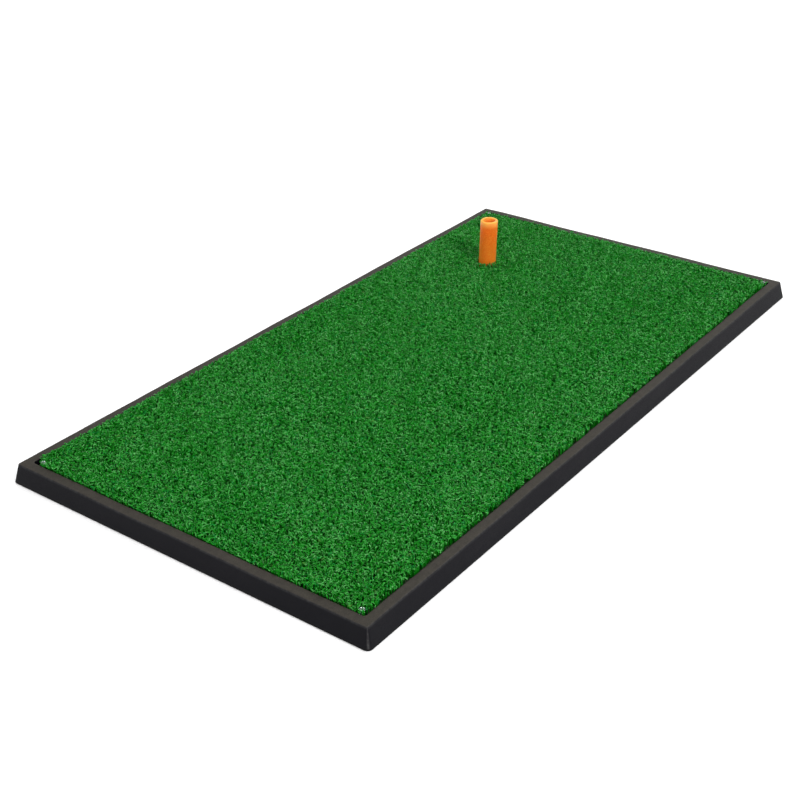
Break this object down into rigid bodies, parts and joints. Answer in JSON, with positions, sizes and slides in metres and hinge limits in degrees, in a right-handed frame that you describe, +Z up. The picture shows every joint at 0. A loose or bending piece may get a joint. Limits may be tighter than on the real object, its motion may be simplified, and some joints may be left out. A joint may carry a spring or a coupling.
{
  "type": "golf hitting mat",
  "caption": "Rectangular golf hitting mat: short turf in a rubber tray with a raised rim, and an off-centre soft rubber tee that bends when struck and pushes out below.",
  "frame": {"origin": "centre of the tray's rectangular footprint, on the floor it rests on", "axes": "+X along the mat's long side towards the end that carries the tee, +Y across it towards the side nearer the tee, +Z up out of the turf"},
  "size_m": [0.61, 0.325, 0.057],
  "materials": {
    "base_rubber": "matte",
    "pad_foam": "matte",
    "latex": "matte",
    "woven_cloth": "matte",
    "turf_fibre": "satin",
    "tee_rubber": "satin",
    "clear_nylon": "gloss"
  },
  "bodies": {
    "mat": {"base_tray": "base_rubber", "shock_pad": "pad_foam", "latex_backing": "latex", "turf_cloth": "woven_cloth", "turf_pile": "turf_fibre", "corner_rivet_1": "clear_nylon", "rivet_pin_1": "clear_nylon", "corner_rivet_2": "clear_nylon", "rivet_pin_2": "clear_nylon", "corner_rivet_3": "clear_nylon", "rivet_pin_3": "clear_nylon", "corner_rivet_4": "clear_nylon", "rivet_pin_4": "clear_nylon"},
    "tee_base": {"tee_foot": "tee_rubber"},
    "tee_upper": {"tee_tube": "tee_rubber"}
  },
  "joints": [
    {"name": "tee_pull", "type": "slide", "parent": "mat", "child": "tee_base", "axis": [0, 0, -1], "range_m": [0, 0.06]},
    {"name": "tee_flex", "type": "hinge", "parent": "tee_base", "child": "tee_upper", "pos_m": [0.1885, 0.082, 0.025], "axis": [0, 1, 0], "range_deg": [-60, 60], "stiffness_Nm_per_rad": 0.45}
  ]
}
